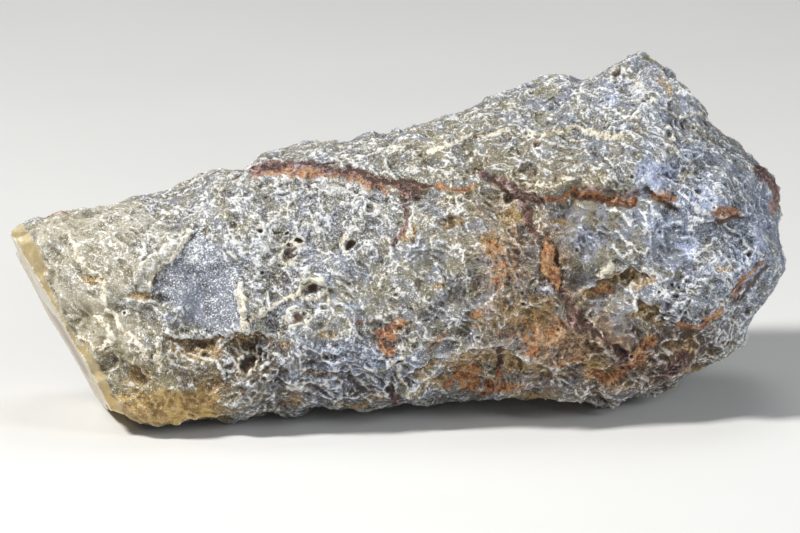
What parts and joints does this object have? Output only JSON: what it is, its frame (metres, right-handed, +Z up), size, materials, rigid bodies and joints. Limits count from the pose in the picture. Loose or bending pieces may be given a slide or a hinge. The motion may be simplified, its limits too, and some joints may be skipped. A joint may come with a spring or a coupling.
{
  "type": "picture agate specimen",
  "caption": "Rough club-shaped agate nodule with a pitted, iron-stained rind and one flat sawn end, lying on worn feet.",
  "frame": {"origin": "middle of the footprint, on the surface that the stone rests on", "axes": "+X from the sawn end to the thick end, +Y to the back, +Z up"},
  "size_m": [0.1548, 0.0702, 0.0697],
  "materials": {
    "agate_stone": "rough frosted rind with waxy hollows and a smooth sawn end"
  },
  "bodies": {
    "root": {"agate_stone": "agate_stone"}
  },
  "joints": []
}
